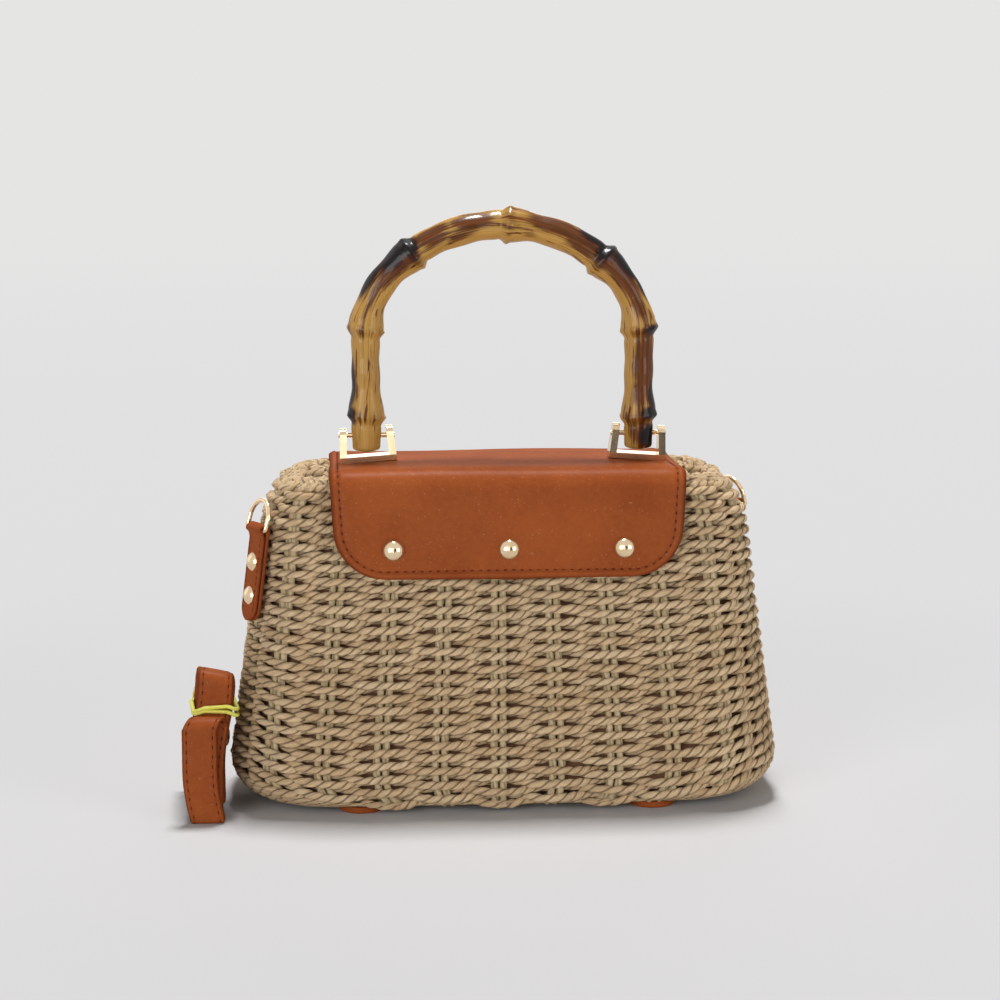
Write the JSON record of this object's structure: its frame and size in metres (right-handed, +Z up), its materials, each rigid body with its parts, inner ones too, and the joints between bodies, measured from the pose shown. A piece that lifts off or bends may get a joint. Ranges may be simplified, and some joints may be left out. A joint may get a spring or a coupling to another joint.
{
  "type": "straw handbag",
  "caption": "Woven straw handbag with a leather flap that lifts, a swinging bamboo arch handle on U brackets, side rings and a shoulder strap tied in a hank.",
  "frame": {"origin": "on the floor under the middle of the basket", "axes": "+X to the right along the length, +Y from the front flap to the back wall, +Z up"},
  "size_m": [0.2806, 0.1026, 0.2762],
  "materials": {
    "straw": "twisted paper straw, matt",
    "lining_cloth": "plain cloth",
    "dark_leather": "matt",
    "brown_leather": "semi-matt, stitched",
    "gold_metal": "polished pale gold plating",
    "bamboo": "lacquered, scorched",
    "yellow_rubber": "matt"
  },
  "bodies": {
    "basket": {"basket": "straw", "lining": "lining_cloth", "foot_pads": "dark_leather", "foot_rivets": "gold_metal", "stud_posts": "gold_metal", "back_panel": "brown_leather", "back_rivets": "gold_metal", "side_tab_left": "brown_leather", "side_tab_right": "brown_leather", "tab_rivets_left": "gold_metal", "tab_rivets_right": "gold_metal", "shoulder_strap": "brown_leather", "strap_band": "yellow_rubber", "hook_eye_inner": "gold_metal", "hook_eye_outer": "gold_metal", "hook_claw_inner": "gold_metal", "hook_claw_outer": "gold_metal", "hook_gate_inner": "gold_metal", "hook_gate_outer": "gold_metal"},
    "flap": {"flap": "brown_leather", "stud_caps": "gold_metal", "stud_sockets": "gold_metal", "bracket_left": "gold_metal", "bracket_right": "gold_metal", "bracket_screws": "gold_metal", "bracket_washers": "gold_metal", "handle_pins": "gold_metal"},
    "handle": {"handle": "bamboo"},
    "ring_left": {"side_ring_left": "gold_metal"},
    "ring_right": {"side_ring_right": "gold_metal"}
  },
  "joints": [
    {"name": "flap_hinge", "type": "hinge", "parent": "basket", "child": "flap", "pos_m": [0, 0.037, 0.15675], "axis": [-1, 0, 0], "range_deg": [0, 100]},
    {"name": "handle_swing", "type": "hinge", "parent": "flap", "child": "handle", "pos_m": [0, 0, 0.17042], "axis": [1, 0, 0], "range_deg": [-70, 70]},
    {"name": "ring_left_swing", "type": "hinge", "parent": "basket", "child": "ring_left", "pos_m": [-0.11363, -0.02911, 0.13158], "axis": [0.5, -0.866, 0], "range_deg": [0, 140]},
    {"name": "ring_right_swing", "type": "hinge", "parent": "basket", "child": "ring_right", "pos_m": [0.11363, 0.02911, 0.13158], "axis": [-0.5, 0.866, 0], "range_deg": [0, 140]}
  ]
}
